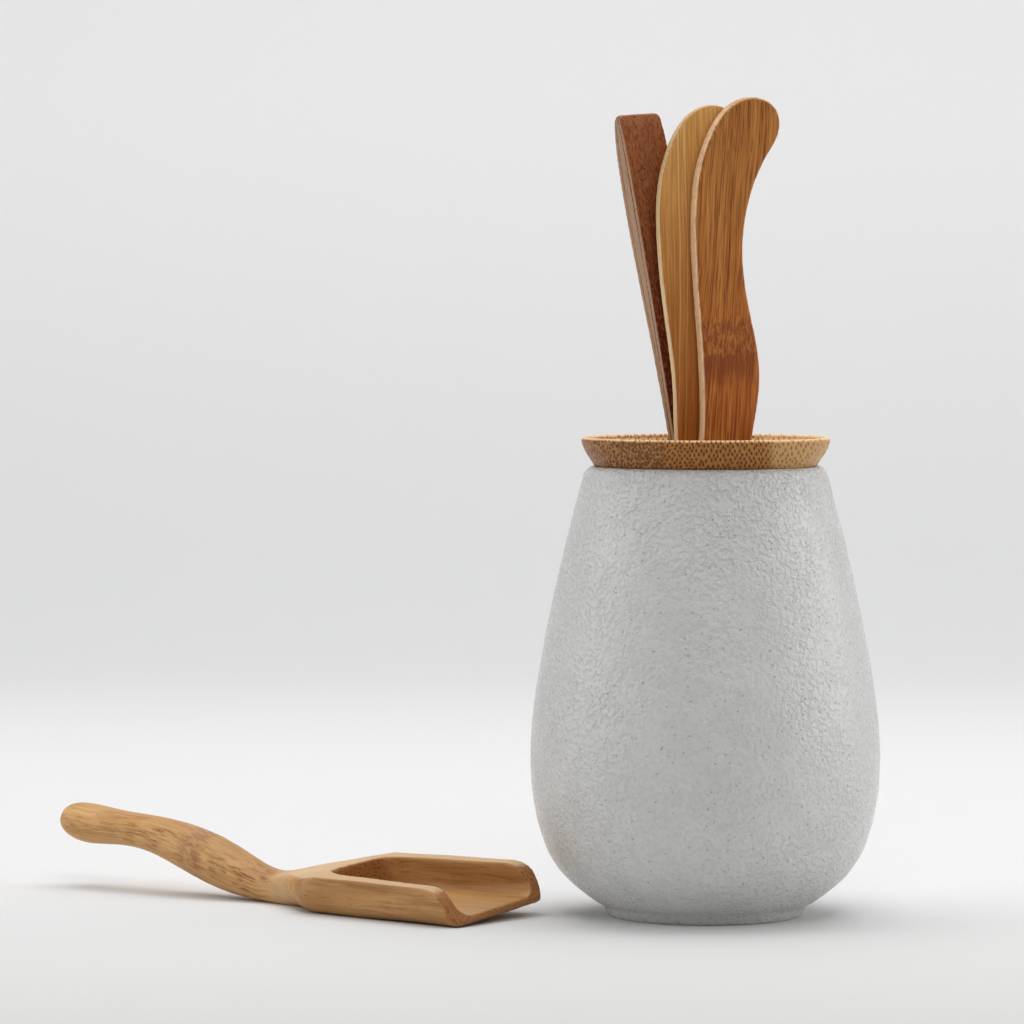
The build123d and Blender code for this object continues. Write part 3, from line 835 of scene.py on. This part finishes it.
def make_needle():
    """The middle tool, in paler, smoother bamboo."""
    needle = carved_copy("needle_blank", ["tea_needle"], voxel=0.30, smoothing=5)
    local = store_grain(needle, NEEDLE_FRAME @ turn(NEEDLE_GRAIN_TURN, "Z"))
    roughen(needle, [(0.08, (7.0, 22.0, 7.0), 4.0), (0.035, (0.8, 14.0, 2.0), 9.0)], local)
    material = bamboo(
        "needle_bamboo",
        light=(0.75, 0.400, 0.125),
        middle=(0.65, 0.315, 0.083),
        dark=(0.40, 0.155, 0.030),
        edge=(0.82, 0.60, 0.33),
        end_colour=(0.66, 0.40, 0.16),
        # painted shade near the collar: the colour factor at the lower end of the span below
        shade_factor=(0.60, 0.36, 0.15),
        shade_span=(98.0, 196.0),
        seed=13.0,
        rough=0.42,
        contrast=0.55,
        bundle_share=0.15,
        pale_lines=(0.85, 0.60, 0.30),
    )
    needle.data.materials.append(material)
    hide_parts("tea_needle")
    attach(needle, "needle")


def make_tongs():
    """Two slats that bend where the wedge ends, the wedge between their heads and the dowel through them."""
    material = bamboo(
        "tongs_bamboo",
        light=(0.33, 0.100, 0.028),
        middle=(0.24, 0.062, 0.013),
        dark=(0.105, 0.019, 0.003),
        edge=(0.46, 0.27, 0.155),
        end_colour=(0.40, 0.155, 0.045),
        # painted shade near the collar: the colour factor at the lower end of the span below
        shade_factor=(0.50, 0.29, 0.15),
        shade_span=(25.0, 84.0),
        seed=29.0,
        contrast=0.6,
        bundle=(0.55, 2.6, 0.55),
        bundle_share=0.4,
        flecks=(0.36, 0.120, 0.038),
    )
    up = Vector(TONGS_FRAME.col[1][:3])
    for side in ("front", "back"):
        nodes = [f"tongs_{side}_root", f"tongs_{side}_arm"]
        reach = up * SLAT_REACH * MM
        slat = carved_copy(f"tongs_{side}_slat", nodes, voxel=0.26, smoothing=5, reach=reach)
        local = store_grain(slat, TONGS_FRAME)
        roughen(slat, [(0.06, (6.0, 18.0, 6.0), 6.0), (0.03, (0.8, 12.0, 0.8), 8.0)], local)
        slat.data.materials.append(material)
        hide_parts(*nodes)
        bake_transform(slat)
    pieces = (
        ("tongs_wedge", "tongs_wedge_block", "tongs_bamboo"),
        ("tongs_pin", "tongs_dowel", "pin_bamboo"),
    )
    for node, name, slot in pieces:
        piece = carved_copy(name, [node], voxel=0.22, smoothing=2)
        store_grain(piece, TONGS_FRAME)
        piece.data.materials.append(material)
        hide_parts(node)
        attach(piece, "tongs")


def make_scoop():
    """The carved scoop lying beside the jar, its neck blended into its block."""
    scoop = carved_copy("scoop_carving", ["tea_scoop"], voxel=0.38, smoothing=8)
    places, _ = mesh_arrays(scoop.data)
    along = in_frame(places, SCOOP_FRAME)[:, 1]
    near_neck = np.exp(-(((along - NECK_MIDDLE) / NECK_SPREAD) ** 2))
    soften(scoop, near_neck, NECK_SMOOTHING)
    places, normals = mesh_arrays(scoop.data)
    set_places(scoop.data, places + normals * (near_neck * NECK_FILLING * MM)[:, None])
    local = store_grain(scoop, SCOOP_FRAME, SCOOP_CENTRE_LINE)
    roughen(scoop, [(0.25, (9.0, 16.0, 9.0), 2.0), (0.05, (1.0, 14.0, 1.0), 4.0)], local)
    places, _ = mesh_arrays(scoop.data)
    places[:, 2] = np.maximum(places[:, 2], 0.0)
    set_places(scoop.data, places)
    scoop.data.materials.append(scoop_bamboo())
    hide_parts("tea_scoop")
    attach(scoop, "scoop")


# ---- studio ----
def make_stage():
    """A pale floor that sweeps up into a pale backdrop."""
    line = [(STAGE_FRONT, 0.0), (0.0, 0.0), (STAGE_FLAT_END, 0.0)]
    for step in range(1, STAGE_BEND_STEPS + 1):
        angle = math.radians(90.0 * step / STAGE_BEND_STEPS)
        back, up = STAGE_BEND * math.sin(angle), STAGE_BEND - STAGE_BEND * math.cos(angle)
        line.append((STAGE_FLAT_END + back, up))
    line.append((STAGE_FLAT_END + STAGE_BEND, STAGE_TOP))
    shape = bmesh.new()
    left = [shape.verts.new((-STAGE_HALF_WIDTH, y, z)) for y, z in line]
    right = [shape.verts.new((STAGE_HALF_WIDTH, y, z)) for y, z in line]
    for i in range(len(line) - 1):
        shape.faces.new((left[i], right[i], right[i + 1], left[i + 1]))
    mesh = bpy.data.meshes.new("backdrop")
    shape.to_mesh(mesh)
    shape.free()
    backdrop = new_object("backdrop", mesh)
    backdrop.data.materials.append(backdrop_paper())


def area_light(name, place, target, size, watts):
    """A soft rectangular white light aimed at a point."""
    lamp = bpy.data.lights.new(name, "AREA")
    lamp.shape = "RECTANGLE"
    lamp.size, lamp.size_y = size
    lamp.energy = watts
    obj = bpy.data.objects.new(name, lamp)
    bpy.context.scene.collection.objects.link(obj)
    obj.location = place
    obj.rotation_euler = (Vector(target) - Vector(place)).to_track_quat("-Z", "Y").to_euler()


def make_lights():
    """An overhead softbox a little behind the object, side panels, a weak front fill and a dim surround."""
    for light in LIGHTS:
        area_light(*light)
    world = bpy.data.worlds.new("surround")
    bpy.context.scene.world = world
    world.use_nodes = True
    background = world.node_tree.nodes["Background"]
    background.inputs["Color"].default_value = (1.0, 1.0, 1.0, 1.0)
    background.inputs["Strength"].default_value = SURROUND_STRENGTH


def make_camera():
    """Long lens a little above the table, looking along +Y."""
    camera = bpy.data.cameras.new("camera")
    camera.sensor_width = CAMERA_SENSOR
    camera.lens = CAMERA_LENS
    camera.clip_start = 0.05
    camera.clip_end = 20.0
    obj = bpy.data.objects.new("camera", camera)
    bpy.context.scene.collection.objects.link(obj)
    obj.location = CAMERA_PLACE
    obj.rotation_euler = (math.radians(90.0 - CAMERA_DOWN), 0.0, 0.0)
    bpy.context.scene.camera = obj


make_camera()
make_stage()
make_lights()
make_jar()
make_collar()
make_spoon()
make_needle()
make_tongs()
make_scoop()

bpy.context.scene.view_settings.view_transform = "Standard"
